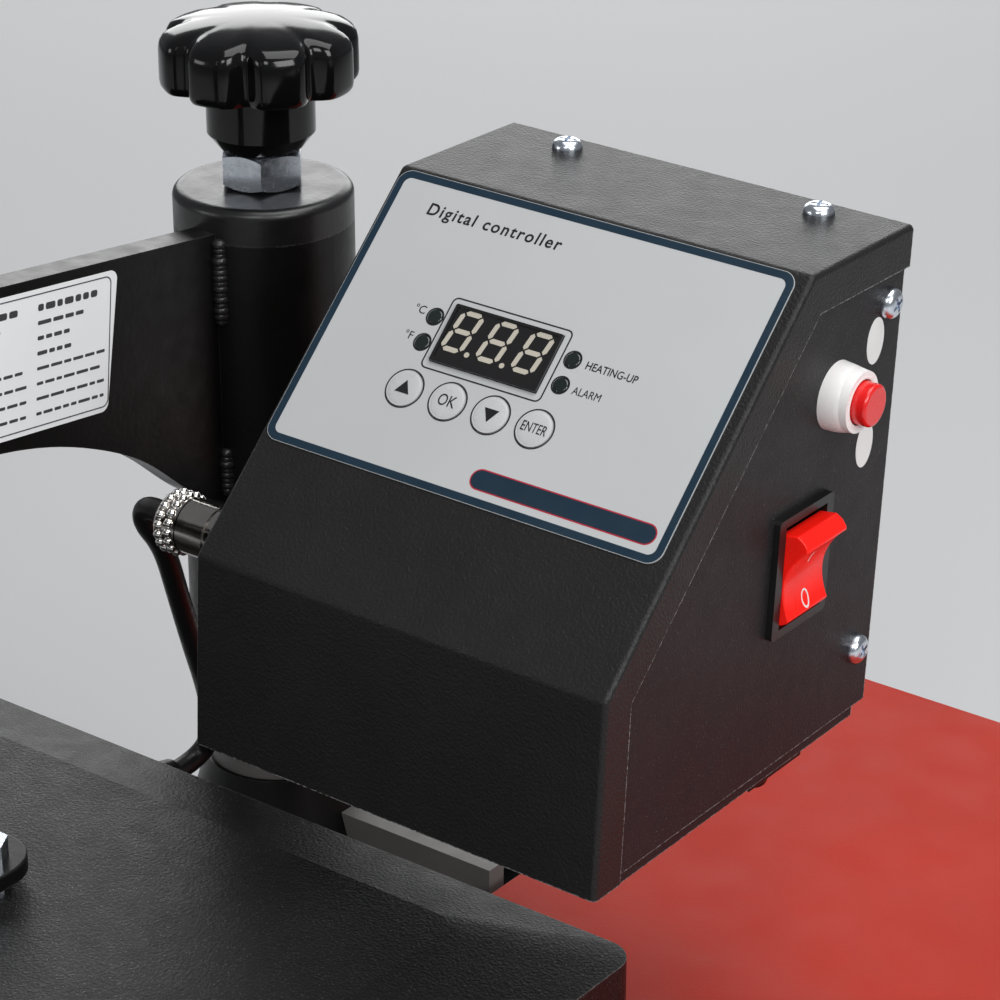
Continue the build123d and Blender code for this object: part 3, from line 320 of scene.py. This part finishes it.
# ------------------------------------------------------------------ mesh helpers
def put(name, verts, faces, mat, body, smooth=None, bevel=0.0, segments=2):
    me = bpy.data.meshes.new(name)
    me.from_pydata([tuple(v) for v in verts], [], faces)
    me.validate()
    bm = bmesh.new()
    bm.from_mesh(me)
    bmesh.ops.recalc_face_normals(bm, faces=bm.faces)
    bm.to_mesh(me)
    bm.free()
    me.materials.append(M[mat])
    ob = bpy.data.objects.new(name, me)
    scene.collection.objects.link(ob)
    if smooth is not None:
        me.shade_smooth()
        me.set_sharp_from_angle(angle=math.radians(smooth))
    if bevel:
        b = ob.modifiers.new("bevel", "BEVEL")
        b.width, b.segments, b.limit_method, b.angle_limit = bevel, segments, "ANGLE", math.radians(35)
        b.harden_normals = False
    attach(ob, body)
    return ob


def prism(name, shapes, plane, z0, z1, mat, body, bevel=0.0):
    """shapes: list of [outer, hole, ...] loops of 2-D points, millimetres in the plane"""
    verts, faces = [], []
    for loops in shapes:
        base = len(verts)
        flat = [p for loop in loops for p in loop]
        n = len(flat)
        tris = tessellate_polygon([[Vector((p[0], p[1], 0)) for p in loop] for loop in loops])
        verts += [plane.at(p[0], p[1], z0) for p in flat] + [plane.at(p[0], p[1], z1) for p in flat]
        for t in tris:
            faces.append([base + i for i in reversed(t)])
            faces.append([base + n + i for i in t])
        start = 0
        for loop in loops:
            k = len(loop)
            for i in range(k):
                a, b = start + i, start + (i + 1) % k
                faces.append([base + a, base + b, base + n + b, base + n + a])
            start += k
    return put(name, verts, faces, mat, body, bevel=bevel)


def rrect(cx, cy, w, h, r, n=8):
    out = []
    for sx, sy, a0 in ((1, 1, 0), (-1, 1, 90), (-1, -1, 180), (1, -1, 270)):
        for i in range(n + 1):
            a = math.radians(a0 + 90 * i / n)
            out.append((cx + sx * (w / 2 - r) + r * math.cos(a), cy + sy * (h / 2 - r) + r * math.sin(a)))
    return out


def ellipse(cx, cy, rx, ry=None, n=48):
    ry = rx if ry is None else ry
    return [(cx + rx * math.cos(2 * math.pi * i / n), cy + ry * math.sin(2 * math.pi * i / n)) for i in range(n)]


def text(name, words, plane, x, y, size, z, mat, body, align="LEFT", spacing=1.0, wide=1.0,
         shear=0.0, fat=0.0, turn=0.0):
    cu = bpy.data.curves.new(name + "_font", "FONT")
    cu.body = words
    cu.size = size / 1000
    cu.align_x, cu.align_y = align, "CENTER"
    cu.space_character = spacing
    cu.shear = shear
    cu.offset = fat / 1000
    cu.extrude = 0.00004
    cu.resolution_u = 6
    tmp = bpy.data.objects.new(name + "_tmp", cu)
    scene.collection.objects.link(tmp)
    tmp.matrix_world = (plane.matrix(x, y, z) @ Matrix.Rotation(math.radians(turn), 4, "Z")
                        @ Matrix.Diagonal((wide, 1, 1, 1)))
    bpy.context.view_layer.update()
    me = bpy.data.meshes.new_from_object(tmp.evaluated_get(bpy.context.evaluated_depsgraph_get()))
    me.transform(tmp.matrix_world)
    bpy.data.objects.remove(tmp)
    me.name = name
    me.materials.clear()
    me.materials.append(M[mat])
    ob = bpy.data.objects.new(name, me)
    scene.collection.objects.link(ob)
    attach(ob, body)
    return ob


def revolve(profile, origin, axis, side, n=48):
    """profile: (radius, height) points, closed by the axis or on itself"""
    axis, side = Vector(axis).normalized(), Vector(side).normalized()
    other = axis.cross(side)
    verts, faces, rows = [], [], []
    for r, h in profile:
        if r < 1e-6:
            rows.append([len(verts)])
            verts.append(origin + axis * h / 1000)
        else:
            rows.append(list(range(len(verts), len(verts) + n)))
            for i in range(n):
                a = 2 * math.pi * i / n
                verts.append(origin + (axis * h + (side * math.cos(a) + other * math.sin(a)) * r) / 1000)
    for a, b in zip(rows, rows[1:]):
        for i in range(n):
            j = (i + 1) % n
            if len(a) == 1 and len(b) > 1:
                faces.append([a[0], b[i], b[j]])
            elif len(b) == 1 and len(a) > 1:
                faces.append([a[i], a[j], b[0]])
            elif len(a) > 1:
                faces.append([a[i], a[j], b[j], b[i]])
    return verts, faces


# ------------------------------------------------------------------ the heater cable
ROUTE = [
    B(-31.1, 25, 56), B(-39.9, 25, 58.2), B(-44.8, 27.5, 50.4),
    W(46, -103.5, 253), W(40.5, -92, 229), W(36, -81.5, 206), W(32, -72, 187),
    W(25, -62, 168), W(16, -56.5, 148.5), W(16, -73.0, 148.5),
]
cu = bpy.data.curves.new("heater_cable_line", "CURVE")
cu.dimensions = "3D"
sp = cu.splines.new("NURBS")
sp.points.add(len(ROUTE) - 1)
for p, co in zip(sp.points, ROUTE):
    p.co = (*co, 1)
sp.order_u = 3
sp.use_endpoint_u = True
cu.resolution_u = 24
line = bpy.data.objects.new("heater_cable_line", cu)
scene.collection.objects.link(line)
bpy.context.view_layer.update()
me = bpy.data.meshes.new_from_object(line.evaluated_get(bpy.context.evaluated_depsgraph_get()))
cu.bevel_depth = 0.0036
cu.bevel_resolution = 8
cu.use_fill_caps = True
bpy.context.view_layer.update()
me = bpy.data.meshes.new_from_object(line.evaluated_get(bpy.context.evaluated_depsgraph_get()))
bpy.data.objects.remove(line)
me.materials.clear()
me.materials.append(M["cable"])
me.shade_smooth()
cable = bpy.data.objects.new("heater_cable_skin", me)
scene.collection.objects.link(cable)
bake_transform(cable)
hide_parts("heater_cable")

# ------------------------------------------------------------------ pressure knob
def knob_mesh():
    valley0 = math.radians(37.2 - 90 - 5)
    n = 256
    profile = [  # (radius share or mm, z, lobe weight)
        (14.0, 347.3, 0), (16.0, 349.9, 0), (18.0, 352.4, 0), (18.0, 353.4, 0), (18.0, 360, 0),
        (18.0, 367.6, 0), (19.5, 368.4, 0.0), (24.0, 368.2, 0.5), (29.5, 368.0, 0.9), (31.6, 368.5, 1),
        (32.6, 369.8, 1), (32.9, 371.5, 1), (32.9, 376, 1), (32.8, 382.0, 1), (32.3, 384.2, 1),
        (31.2, 385.9, 1), (29.4, 387.1, 0.95), (26.5, 388.2, 0.75), (22.0, 389.3, 0.35), (15.0, 390.3, 0.08),
        (7.0, 390.9, 0), (0.0, 391.0, 0)]
    verts, faces, rows = [], [], []
    for r, z, w in profile:
        if r == 0:
            rows.append([len(verts)])
            verts.append(W(0, 0, z))
            continue
        rows.append(list(range(len(verts), len(verts) + n)))
        for i in range(n):
            a = 2 * math.pi * i / n
            d = (a - valley0) % (math.pi / 4)
            d = min(d, math.pi / 4 - d)
            deg = math.degrees(d)
            dip = math.exp(-(deg / 7.2) ** 2)
            rr = r - w * 4.9 * dip * (r / 32.9) ** 2
            verts.append(W(rr * math.cos(a), rr * math.sin(a), z))
    for a, b in zip(rows, rows[1:]):
        for i in range(n):
            j = (i + 1) % n
            faces.append([a[i], a[j], b[j], b[i]] if len(b) > 1 else [a[i], a[j], b[0]])
    faces.append(list(reversed(rows[0])))
    return verts, faces


v, f = knob_mesh()
knob = put("pressure_knob_grip", v, f, "knob", "knob", smooth=34)
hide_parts("pressure_knob")

# ------------------------------------------------------------------ printed panel
Z0, Z1 = 0.38, 0.46
oc = ((1.6 + 139.6) / 2, -(0.9 + 94.3) / 2)
ow, oh = 138.0, 93.4
prism("panel_border", [[rrect(*oc, ow - 0.3, oh - 0.3, 4.4), rrect(*oc, ow - 5.0, oh - 5.0, 2.4)]],
      PANEL, Z0, Z1, "navy", "head")
prism("panel_window_line", [[rrect(60.9, -47.6, 42.4, 23.8, 2.0), rrect(60.9, -47.6, 41.5, 22.9, 1.6)]],
      PANEL, Z0, Z1, "ink", "head")
KEYS = (("up", 38.8), ("ok", 54.2), ("down", 69.4), ("enter", 84.7))
prism("panel_key_rings", [[ellipse(u, -67.2, 6.35), ellipse(u, -67.2, 5.95)] for _, u in KEYS],
      PANEL, Z0, Z1, "ink", "head")
LEDS = ((36.7, 43.5), (36.8, 52.1), (85.7, 44.1), (85.8, 52.4))
prism("panel_led_rings", [[ellipse(u, -v, 2.95), ellipse(u, -v, 2.55)] for u, v in LEDS],
      PANEL, Z0, Z1, "ink", "head")
text("panel_title", "Digital controller", PANEL, 16.4, -11.6, 5.55, 0.42, "ink", "head",
     spacing=1.2, shear=0.07, fat=0.09)
text("panel_legend_heating", "HEATING-UP", PANEL, 90.4, -44.6, 3.5, 0.42, "ink", "head", wide=0.86,
     fat=0.03)
text("panel_legend_alarm", "ALARM", PANEL, 90.2, -52.9, 3.5, 0.42, "ink", "head", wide=0.86)
text("panel_legend_c", "°C", PANEL, 33.0, -42.6, 3.7, 0.42, "ink", "head", align="RIGHT")
text("panel_legend_f", "°F", PANEL, 33.0, -51.2, 3.7, 0.42, "ink", "head", align="RIGHT")
# a plain bar stands where the maker's word is printed
prism("panel_bar_red", [[rrect(104.1, -86.3, 62.6, 6.6, 3.3)]], PANEL, Z0, 0.43, "red_ink", "head")
prism("panel_bar_navy", [[rrect(104.1, -86.3, 61.8, 5.8, 2.9)]], PANEL, Z0, Z1, "navy", "head")

# key symbols travel with their keys; each key top is gently crowned
for key, u in KEYS:
    prof = [(0.0, 0.95), (1.8, 0.94), (3.4, 0.90), (4.6, 0.83), (5.2, 0.74), (5.55, 0.6), (5.65, 0.3), (5.65, -0.35),
            (0.0, -0.35)]
    v, f = revolve(prof, PANEL.at(u, -67.2, 0), PANEL.ez, PANEL.ex)
    put(f"key_{key}_cap", v, f, "key", f"key_{key}", smooth=40)
up_tri = [(-2.5, -1.9), (2.5, -1.9), (0, 2.3)]
prism("key_up_mark", [[[(38.8 + x, -67.0 + y) for x, y in up_tri]]], PANEL, 0.6, 1.0, "ink", "key_up")
prism("key_down_mark", [[[(69.4 + x, -67.4 - y) for x, y in reversed(up_tri)]]], PANEL, 0.6, 1.0, "ink",
      "key_down")
text("key_ok_mark", "OK", PANEL, 54.2, -67.3, 5.2, 0.97, "ink", "key_ok", align="CENTER", wide=0.8)
text("key_enter_mark", "ENTER", PANEL, 84.7, -67.3, 4.4, 0.97, "ink", "key_enter", align="CENTER",
     wide=0.66)

# ------------------------------------------------------------------ display figures
segs = []
tl = math.tan(math.radians(9))
for k in range(3):
    cx = 60.9 + (k - 1) * 12.4 - 0.3
    a, b = 2.75, 0.78
    for du, dv, upright in ((0, 6.1, 0), (0, 0, 0), (0, -6.1, 0), (-3.3, 3.05, 1), (3.3, 3.05, 1),
                            (-3.3, -3.05, 1), (3.3, -3.05, 1)):
        pts = ([(0, a), (b, a - b), (b, -a + b), (0, -a), (-b, -a + b), (-b, a - b)] if upright else
               [(a, 0), (a - b, b), (-a + b, b), (-a, 0), (-a + b, -b), (a - b, -b)])
        pts = [(cx + du + x + (dv + y) * tl, -45.9 + dv + y) for x, y in pts]
        area = sum(p[0] * q[1] - q[0] * p[1] for p, q in zip(pts, pts[1:] + pts[:1]))
        segs.append([pts if area > 0 else pts[::-1]])
    if k < 2:
        segs.append([ellipse(cx + 4.9, -52.2, 0.85, n=20)])
prism("display_figures", segs, PANEL, 0.96, 1.1, "segment", "head")
prism("display_rim", [[rrect(60.9, -47.4, 37.6, 19.0, 0.5), rrect(60.9, -47.4, 35.6, 17.2, 0.4)]],
      PANEL, 0.9, 1.35, "window", "head", bevel=0.0001)

# ------------------------------------------------------------------ rocker switch
SWY, SWZ, RX = 101.7, 65.9, 143.1
RK = math.radians(11)


def rocked(x, y, z):
    return B(RX + x * math.cos(RK) + z * math.sin(RK), y, SWZ - x * math.sin(RK) + z * math.cos(RK))


def hollow(z):
    """height of the rocker's concave face above its pivot, mm"""
    return 2.2 + 4.5 * (z / 11.8) ** 2


prof = [(-3.2, -13.2), (2.2, -15.2), (4.6, -14.3), (6.2, -12.9)]
prof += [(hollow(-11.8 + 23.6 * i / 20), -11.8 + 23.6 * i / 20) for i in range(21)]
prof += [(6.2, 12.9), (4.6, 14.3), (2.2, 15.2), (-3.2, 13.2)]
vv, ff = [], []
ys = (SWY - 11.2, SWY + 11.2)
for y in ys:
    vv += [rocked(x, y, z) for x, z in prof]
n = len(prof)
ff.append(list(range(n)))
ff.append([n + i for i in reversed(range(n))])
for i in range(n):
    j = (i + 1) % n
    ff.append([i, j, n + j, n + i])
rock = put("rocker_cap", vv, ff, "rocker", "rocker", smooth=30, bevel=0.0004, segments=3)
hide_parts("rocker")


def rocker_strip(name, rows):
    """printed mark laid on the concave face: rows of (edge a, edge b) points as (y, z)"""
    closed = rows[0] == rows[-1]
    if closed:
        rows = rows[:-1]
    mv, mf = [], []
    for (ya, za), (yb, zb) in rows:
        for lift in (-0.06, 0.05):
            mv.append(rocked(hollow(za) + lift, SWY + ya, za))
            mv.append(rocked(hollow(zb) + lift, SWY + yb, zb))
    m = len(rows)
    for i in range(m if closed else m - 1):
        p, q = 4 * i, 4 * ((i + 1) % m)
        mf += [[p, p + 1, q + 1, q], [p + 2, q + 2, q + 3, p + 3], [p, q, q + 2, p + 2], [p + 1, p + 3, q + 3, q + 1]]
    if not closed:
        e = 4 * (m - 1)
        mf += [[0, 2, 3, 1], [e, e + 1, e + 3, e + 2]]
    put(name, mv, mf, "paper", "rocker")


ring = [k * math.tau / 40 for k in range(40)]
rows = [((1.95 * math.cos(t), -8.8 + 2.6 * math.sin(t)), (1.4 * math.cos(t), -8.8 + 2.05 * math.sin(t))) for t in ring]
rocker_strip("rocker_mark_off", rows + rows[:1])
rocker_strip("rocker_mark_on", [((-0.26, 2.6 + 0.5 * k), (0.26, 2.6 + 0.5 * k)) for k in range(9)])

# ------------------------------------------------------------------ reset switch collar, stickers
v, f = revolve([(0.0, 4.4), (6.9, 4.4), (7.05, 8.2), (7.6, 9.0), (8.4, 8.8), (9.3, 7.2), (9.95, 5.0), (10.3, 2.4),
                (10.4, 0.05), (0, 0.05)],
               RIGHT.at(115.9, 114.9), RIGHT.ez, RIGHT.ex, 64)
put("breaker_collar", v, f, "white", "head", smooth=50)
prism("side_stickers", [[ellipse(137.6, 125.2, 4.9, 7.3)], [ellipse(136.6, 92.6, 4.9, 7.3)]], RIGHT, 0.0, 0.14,
      "paper", "head")
prism("side_sticker_ring", [[ellipse(126.9, 112.2, 4.6), ellipse(126.9, 112.2, 3.1)]], RIGHT, 0.0, 0.14, "green",
      "head")
prism("side_sticker_dot", [[ellipse(126.9, 112.2, 3.1)]], RIGHT, 0.0, 0.12, "paper", "head")

# ------------------------------------------------------------------ rating label: generic table, no words
def lab(y, z):
    """point on the arm's face (world Y, Z in mm) to label coordinates"""
    return (y * 0.9943 - z * 0.1066, y * 0.1066 + z * 0.9943)


cx, cz = lab(-115.6, 308.1)
prism("label_border", [[rrect(cx, cz, 69.6, 43.2, 2.6), rrect(cx, cz, 68.8, 42.4, 2.3)]], LABEL, 0.0, 0.06,
      "label_ink", "head")
bars = []
random.seed(7)
for row, (wd, th) in enumerate(((26, 2.2), (20, 1.3), (14, 1.3), (17, 1.3), (31, 1.0), (34, 1.0), (30, 1.0), (33, 1.0))):
    z = cz + 17.0 - row * 4.9
    for x0 in (cx - 32, cx + 2.5):
        x = x0
        end = x0 + min(wd, 30.0)
        while x < end - 1.5:
            w = min(random.uniform(2.2, 6.0), end - x)
            bars.append([rrect(x + w / 2, z, w, th, th * 0.3, 3)])
            x += w + 0.9
prism("label_lines", bars, LABEL, 0.0, 0.05, "label_ink", "head")

# ------------------------------------------------------------------ plug knurl, welds, threads, grip ribs
def blob_chain(name, centres, radius, mat, body, squash=1.0, seed=3, sub=2):
    bm = bmesh.new()
    rnd = random.Random(seed)
    for c in centres:
        r = radius * rnd.uniform(0.86, 1.12) / 1000
        mtx = Matrix.Translation(c) @ Matrix.Diagonal((1, 1, squash, 1))
        bmesh.ops.create_icosphere(bm, subdivisions=sub, radius=r, matrix=mtx)
    me = bpy.data.meshes.new(name)
    bm.to_mesh(me)
    bm.free()
    me.shade_smooth()
    me.materials.append(M[mat])
    ob = bpy.data.objects.new(name, me)
    scene.collection.objects.link(ob)
    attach(ob, body)
    return ob


beads = []
for row, t in enumerate((26.3, 30.0)):
    for i in range(18):
        a = 2 * math.pi * (i + 0.5 * row) / 18
        beads.append(LEFT.at(-25 + 8.7 * math.cos(a), 56 + 8.7 * math.sin(a), t))
bm = bmesh.new()
for c in beads:
    bmesh.ops.create_icosphere(bm, subdivisions=3, radius=0.00155, matrix=Matrix.Translation(c))
me = bpy.data.meshes.new("plug_knurl")
bm.to_mesh(me)
bm.free()
me.shade_smooth()
me.materials.append(M["chrome"])
kn = bpy.data.objects.new("plug_knurl", me)
scene.collection.objects.link(kn)
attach(kn, "head")

welds = []
for sx in (-1, 1):
    for i in range(15):
        welds.append(W(sx * 6.2, -29.4, 322 - i * 1.9))
    for i in range(8):
        welds.append(W(sx * 6.2, -29.4, 248 - i * 1.9))
blob_chain("arm_welds", welds, 2.6, "weld", "head", squash=0.8)
welds = []
for i in range(70):
    a = 2 * math.pi * i / 70
    welds.append(W(38.6 * math.cos(a), 38.6 * math.sin(a), 46.2))
for i in range(24):
    for sy in (-1, 1):
        welds.append(W(39.5 + i * 2.4, sy * 5.0, 46.0))
blob_chain("base_welds", welds, 2.5, "weld", "base", squash=0.8, seed=5)

# ribbed rubber grip: rings down the lever's handle
LC, LS = -math.cos(math.radians(75)), math.sin(math.radians(75))
pivot = W(0, -245.5, 352)
ldir = Vector((0, LC, LS))
gp = [(9.2, 214.0), (13.2, 214.0), (14.6, 215.4)]
for k in range(19):
    h = 218.0 + k * 6.2
    gp += [(14.9, h), (15.0, h + 0.5), (15.0, h + 3.7), (14.9, h + 4.2), (13.9, h + 4.8), (13.9, h + 5.6)]
gp += [(14.6, 338.0), (13.8, 341.5), (11.0, 343.6), (6.0, 344.0), (0.0, 344.0)]
v, f = revolve([(9.2, 216.0)] + gp, pivot, ldir, Vector((1, 0, 0)), 64)
grip = put("lever_grip_rubber", v, f, "soft", "lever", smooth=40)
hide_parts("lever_grip")

# threads on the four studs
def thread(name, base, length, r, pitch, body, mat="zinc", slot="zinc", n=20):
    verts, faces = [], []
    turns = length / pitch
    steps = int(turns * n)
    for i in range(steps + 1):
        a = 2 * math.pi * i / n
        z = pitch * i / n
        c, s = math.cos(a), math.sin(a)
        for rr, dz in ((r - 0.25, -pitch * 0.42), (r + 0.22, 0.0), (r - 0.25, pitch * 0.42)):
            verts.append(base + Vector((rr * c, rr * s, z + dz)) / 1000)
    for i in range(steps):
        for k in (0, 1):
            a = i * 3 + k
            faces.append([a, a + 3, a + 4, a + 1])
        faces.append([i * 3 + 2, i * 3 + 5, i * 3 + 3, i * 3])
    faces += [[0, 1, 2], [steps * 3 + 2, steps * 3 + 1, steps * 3]]
    return verts, faces


sv, sf = [], []
for sx in (-38, 38):
    for sy in (-74, 74):
        v, f = thread("t", W(sx, -254 + sy, 181.0), 2.2, 4.0, 1.25, "platen")
        k = len(sv)
        sv += v
        sf += [[k + i for i in q] for q in f]
put("stud_threads", sv, sf, "zinc", "platen", smooth=60)

# ------------------------------------------------------------------ floor, light
floor_mat = material("mat_floor", (0.55, 0.555, 0.56), 0.9, vary=0.01, vary_scale=2.0, rough_vary=0.02, spec=0.1)
me = bpy.data.meshes.new("floor")
bm = bmesh.new()
bmesh.ops.create_grid(bm, x_segments=4, y_segments=4, size=9)
bm.to_mesh(me)
bm.free()
me.materials.append(floor_mat)
floor = bpy.data.objects.new("floor", me)
floor.location = (0, 0, -0.0002)
scene.collection.objects.link(floor)

world = bpy.data.worlds.new("studio")
scene.world = world
world.use_nodes = True
bg = world.node_tree.nodes["Background"]
bg.inputs["Color"].default_value = (0.93, 0.95, 1.0, 1)
bg.inputs["Strength"].default_value = 0.20


def softbox(name, loc, target, size, power, color=(1, 1, 1), size_y=None):
    d = bpy.data.lights.new(name, "AREA")
    d.energy, d.color = power, color
    d.shape, d.size = "RECTANGLE", size
    d.size_y = size_y or size
    ob = bpy.data.objects.new(name, d)
    scene.collection.objects.link(ob)
    ob.location = loc
    ob.rotation_euler = (Vector(target) - Vector(loc)).to_track_quat("-Z", "Y").to_euler()
    return ob


softbox("key_top", (0.3, 0.3, 1.75), (0.0, 0.0, 0.3), 1.3, 19)
softbox("back", (-1.25, 1.75, 0.9), (0.0, 0.0, 0.35), 1.9, 17, size_y=0.9)
softbox("left", (-1.2, -1.6, 0.75), (0.05, 0.0, 0.28), 0.7, 3.5, size_y=0.4)
softbox("right", (1.5, -0.38, 1.15), (0.1, 0.0, 0.32), 0.85, 17, size_y=0.9)
softbox("front", (0.9, -1.7, 1.7), (0.0, 0.0, 0.3), 0.7, 10)
scene.view_settings.view_transform = "Standard"
scene.view_settings.look = "None"
